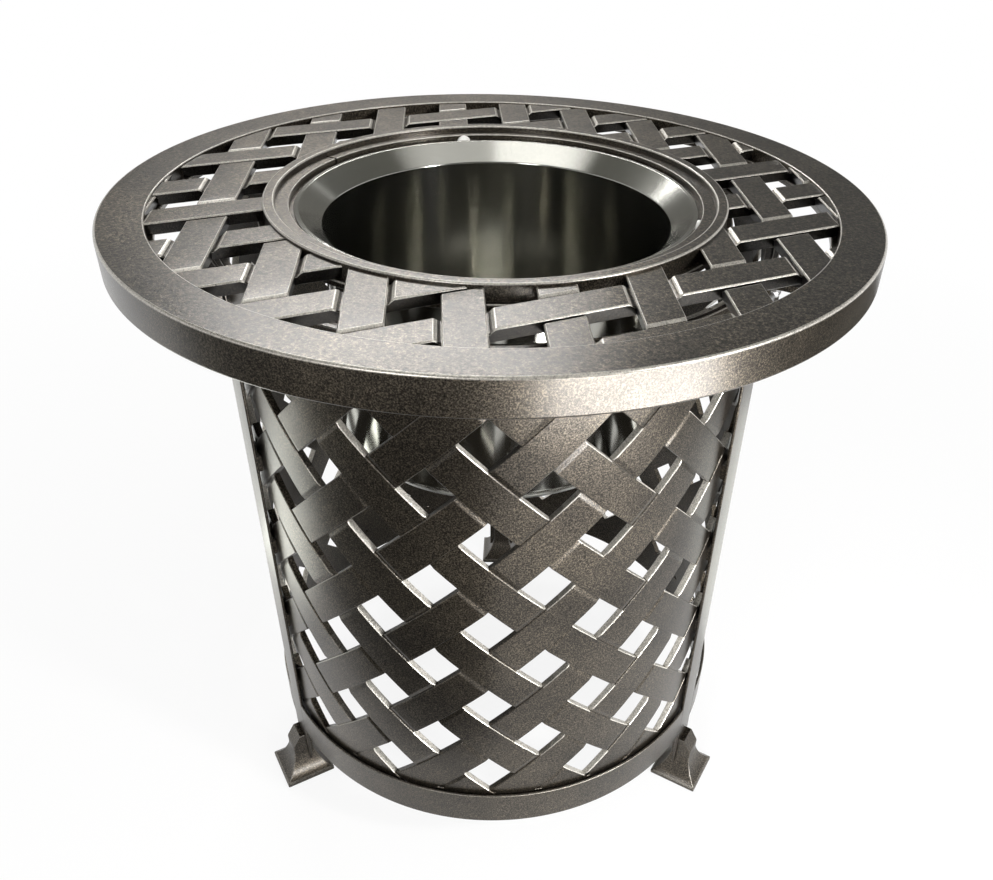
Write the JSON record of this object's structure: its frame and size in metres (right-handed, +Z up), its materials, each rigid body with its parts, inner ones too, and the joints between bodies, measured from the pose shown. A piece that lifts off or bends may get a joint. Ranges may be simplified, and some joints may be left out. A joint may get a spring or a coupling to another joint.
{
  "type": "ice bucket side table",
  "caption": "Round patio side table with a woven cast top and drum on feet, and a lift-out steel ice bucket sunk in a collar in its middle.",
  "frame": {"origin": "on the floor, on the axis of the drum", "axes": "+Z up; -Y is the front, midway between the left and right feet; +X to the right seen from the front"},
  "size_m": [0.61, 0.61, 0.5842],
  "materials": {
    "dark_coat": "dark bronze powder coat, semi-gloss, with a fine speckle",
    "stainless": "polished stainless steel with faint upright polishing lines",
    "white_nylon": "matte",
    "black_nylon": "matte",
    "zinc_steel": "zinc plated"
  },
  "bodies": {
    "table": {"top_rim": "dark_coat", "top_grille": "dark_coat", "top_collar": "dark_coat", "seat_ring": "dark_coat", "upper_hoop": "dark_coat", "band_front": "dark_coat", "band_left": "dark_coat", "band_right": "dark_coat", "weave_front": "dark_coat", "weave_left": "dark_coat", "weave_right": "dark_coat", "strap_tabs": "dark_coat", "band_tabs": "dark_coat", "strap_left": "dark_coat", "strap_right": "dark_coat", "strap_back": "dark_coat", "bracket_left": "dark_coat", "bracket_right": "dark_coat", "bracket_back": "dark_coat", "foot_left": "dark_coat", "foot_right": "dark_coat", "foot_back": "dark_coat", "rim_bolts": "zinc_steel", "rim_washers": "zinc_steel", "strap_screws": "zinc_steel", "glide_left": "black_nylon", "glide_right": "black_nylon", "glide_back": "black_nylon", "collar_bumpers": "white_nylon"},
    "bucket": {"ice_bucket": "stainless"}
  },
  "joints": [
    {"name": "bucket_lift", "type": "slide", "parent": "table", "child": "bucket", "axis": [0, 0, 1], "range_m": [0, 0.25]}
  ]
}
